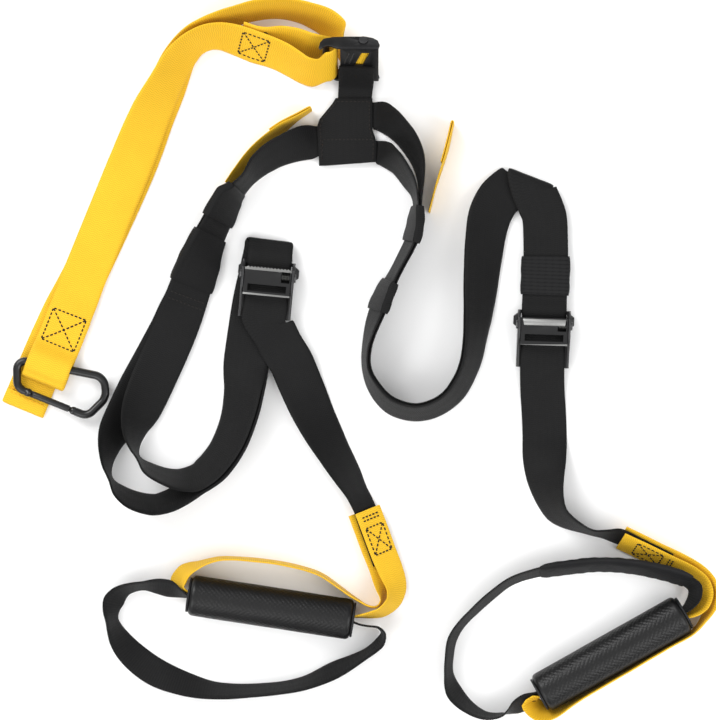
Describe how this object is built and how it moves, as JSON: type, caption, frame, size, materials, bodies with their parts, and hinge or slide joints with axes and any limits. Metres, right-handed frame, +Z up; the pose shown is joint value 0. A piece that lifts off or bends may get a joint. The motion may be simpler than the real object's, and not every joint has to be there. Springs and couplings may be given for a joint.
{
  "type": "suspension trainer",
  "caption": "Strap suspension trainer laid flat: webbing lengths with cam buckles, an anchor carabiner, rolling grips and foot cradles.",
  "frame": {"origin": "middle of the footprint on the floor the trainer lies on", "axes": "+Z up from the floor, +Y towards the main buckle and the yoke, +X to the right of the layout"},
  "size_m": [0.6132, 0.6148, 0.0442],
  "materials": {
    "black_webbing": "woven nylon",
    "yellow_webbing": "woven nylon",
    "ribbed_patch": "ribbed webbing",
    "cradle_pad": "soft textured cover",
    "black_paint": "gloss coat",
    "bare_steel": "bright zinc",
    "spring_steel": "drawn wire",
    "black_alloy": "black anodised",
    "foam": "matt foam",
    "plastic": "moulded"
  },
  "bodies": {
    "straps": {"anchor_strap": "yellow_webbing", "length_tail": "yellow_webbing", "left_pull_tab": "yellow_webbing", "right_pull_tab": "yellow_webbing", "left_handle_webbing": "yellow_webbing", "right_handle_webbing": "yellow_webbing", "yoke_neck": "black_webbing", "yoke_front_panel": "black_webbing", "yoke_back_panel": "black_webbing", "left_long_strap": "black_webbing", "left_handle_strap": "black_webbing", "right_long_strap": "black_webbing", "right_handle_strap": "black_webbing", "left_foot_cradle": "black_webbing", "right_foot_cradle": "black_webbing", "left_upper_keeper": "black_webbing", "left_lower_keeper": "black_webbing", "right_upper_keeper": "black_webbing", "right_lower_keeper": "black_webbing", "right_buckle_sleeve": "ribbed_patch", "right_cradle_pad": "cradle_pad", "main_buckle_frame": "black_paint", "left_buckle_frame": "black_paint", "right_buckle_frame": "black_paint", "main_cam_pin": "bare_steel", "left_cam_pin": "bare_steel", "right_cam_pin": "bare_steel", "main_cam_spring": "spring_steel", "left_cam_spring": "spring_steel", "right_cam_spring": "spring_steel"},
    "carabiner": {"carabiner_body": "black_alloy", "carabiner_gate_pin": "bare_steel"},
    "carabiner_gate": {"carabiner_gate": "black_alloy"},
    "main_cam": {"main_cam_lever": "black_paint"},
    "left_cam": {"left_cam_lever": "black_paint"},
    "right_cam": {"right_cam_lever": "black_paint"},
    "left_grip": {"left_grip_foam": "foam", "left_grip_tube": "plastic", "left_inner_grip_ring": "plastic", "left_outer_grip_ring": "plastic"},
    "right_grip": {"right_grip_foam": "foam", "right_grip_tube": "plastic", "right_inner_grip_ring": "plastic", "right_outer_grip_ring": "plastic"}
  },
  "joints": [
    {"name": "carabiner_swing", "type": "hinge", "parent": "straps", "child": "carabiner", "pos_m": [-0.2642, -0.0052, 0.0084], "axis": [-0.9806, 0.1961, 0], "range_deg": [0, 150]},
    {"name": "gate_swing", "type": "hinge", "parent": "carabiner", "child": "carabiner_gate", "pos_m": [-0.2833, -0.0277, 0.0084], "axis": [0, 0, 1], "range_deg": [0, 16], "stiffness_Nm_per_rad": 0.01, "springref_deg": -17.19},
    {"name": "main_cam_turn", "type": "hinge", "parent": "straps", "child": "main_cam", "pos_m": [0.0028, 0.25738, 0.02108], "axis": [0, -0.5736, -0.8192], "range_deg": [0, 40], "stiffness_Nm_per_rad": 0.02, "springref_deg": -28.65},
    {"name": "left_cam_turn", "type": "hinge", "parent": "straps", "child": "left_cam", "pos_m": [-0.07834, 0.07156, 0.0172], "axis": [-0.9954, 0.0958, 0], "range_deg": [0, 55], "stiffness_Nm_per_rad": 0.02, "springref_deg": -28.65},
    {"name": "right_cam_turn", "type": "hinge", "parent": "straps", "child": "right_cam", "pos_m": [0.15711, 0.02959, 0.0146], "axis": [-0.9994, 0.0349, 0], "range_deg": [0, 55], "stiffness_Nm_per_rad": 0.02, "springref_deg": -28.65},
    {"name": "left_grip_roll", "type": "hinge", "parent": "straps", "child": "left_grip", "pos_m": [-0.0757, -0.2104, 0.0176], "axis": [0.9885, -0.1513, 0], "continuous": true},
    {"name": "right_grip_roll", "type": "hinge", "parent": "straps", "child": "right_grip", "pos_m": [0.2143, -0.2499, 0.0176], "axis": [0.8712, 0.4909, 0], "continuous": true}
  ]
}
